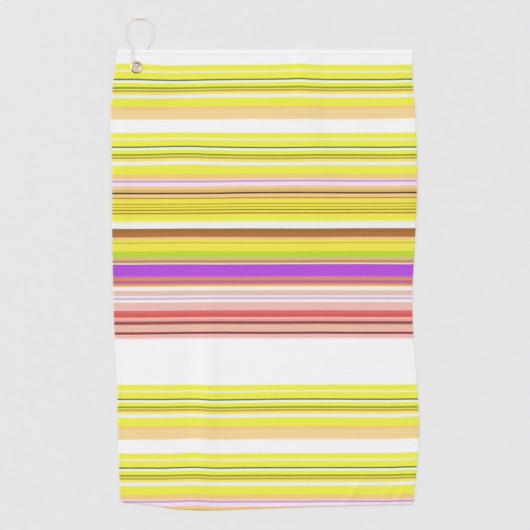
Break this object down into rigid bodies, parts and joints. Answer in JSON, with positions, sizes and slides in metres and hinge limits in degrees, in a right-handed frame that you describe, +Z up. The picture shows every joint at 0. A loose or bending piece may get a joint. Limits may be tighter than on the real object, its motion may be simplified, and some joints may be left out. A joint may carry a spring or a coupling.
{
  "type": "golf towel",
  "caption": "Printed waffle-weave golf towel lying flat, with a brass grommet in one upper corner and a ball chain loop through it that lifts and unclasps.",
  "frame": {"origin": "on the ground under the middle of the laid towel's box, chain loop included", "axes": "+Z up out of the printed face, +Y along the towel's length towards the chain, +X to the right of the face; the grommet is at -X, +Y"},
  "size_m": [0.4102, 0.6546, 0.0096],
  "materials": {
    "cloth": "white waffle-weave microfibre, striped print on the face",
    "thread": "matt white polyester sewing thread",
    "grommet": "polished brass",
    "chain": "pale polished brass plate",
    "clasp": "pale polished brass plate"
  },
  "bodies": {
    "towel": {"towel_panel": "cloth", "hem_thread_top": "thread", "hem_thread_bottom": "thread", "hem_thread_left": "thread", "hem_thread_right": "thread", "grommet_eyelet": "grommet", "grommet_washer": "grommet", "chain_ball_14": "chain", "chain_ball_15": "chain", "chain_ball_16": "chain", "chain_ball_17": "chain", "chain_ball_18": "chain", "chain_ball_19": "chain", "chain_ball_20": "chain", "chain_ball_21": "chain", "chain_ball_22": "chain", "chain_ball_23": "chain", "chain_ball_24": "chain", "chain_ball_25": "chain", "chain_ball_26": "chain", "chain_ball_27": "chain", "chain_ball_28": "chain", "chain_ball_29": "chain", "chain_ball_30": "chain", "chain_ball_31": "chain", "chain_ball_32": "chain", "chain_ball_33": "chain", "chain_ball_34": "chain", "chain_ball_35": "chain", "chain_ball_36": "chain"},
    "chain_pair_1": {"chain_ball_13": "chain", "chain_ball_37": "chain"},
    "chain_pair_2": {"chain_ball_12": "chain", "chain_ball_38": "chain"},
    "chain_pair_3": {"chain_ball_11": "chain", "chain_ball_39": "chain"},
    "chain_loop": {"chain_ball_01": "chain", "chain_ball_02": "chain", "chain_ball_03": "chain", "chain_ball_04": "chain", "chain_ball_05": "chain", "chain_ball_06": "chain", "chain_ball_07": "chain", "chain_ball_08": "chain", "chain_ball_09": "chain", "chain_ball_10": "chain", "chain_ball_40": "chain"},
    "clasp_side": {"chain_ball_41": "chain", "chain_ball_42": "chain", "chain_ball_43": "chain", "chain_ball_44": "chain", "chain_ball_45": "chain", "chain_ball_46": "chain", "chain_ball_47": "chain", "chain_ball_48": "chain", "chain_ball_49": "chain", "chain_clasp": "clasp"}
  },
  "joints": [
    {"name": "loop_lift_1", "type": "hinge", "parent": "towel", "child": "chain_pair_1", "pos_m": [-0.16648, 0.29221, 0.0012], "axis": [1, 0, 0], "range_deg": [0, 25]},
    {"name": "loop_lift_2", "type": "hinge", "parent": "chain_pair_1", "child": "chain_pair_2", "pos_m": [-0.16648, 0.29517, 0.0012], "axis": [1, 0, 0], "range_deg": [0, 25]},
    {"name": "loop_lift_3", "type": "hinge", "parent": "chain_pair_2", "child": "chain_pair_3", "pos_m": [-0.16648, 0.29826, 0.0012], "axis": [1, 0, 0], "range_deg": [0, 25]},
    {"name": "loop_lift_4", "type": "hinge", "parent": "chain_pair_3", "child": "chain_loop", "pos_m": [-0.16648, 0.30155, 0.0012], "axis": [1, 0, 0], "range_deg": [0, 25]},
    {"name": "clasp_release", "type": "hinge", "parent": "chain_loop", "child": "clasp_side", "pos_m": [-0.14789, 0.30498, 0.0012], "axis": [1, 0, 0], "range_deg": [0, 25]}
  ]
}
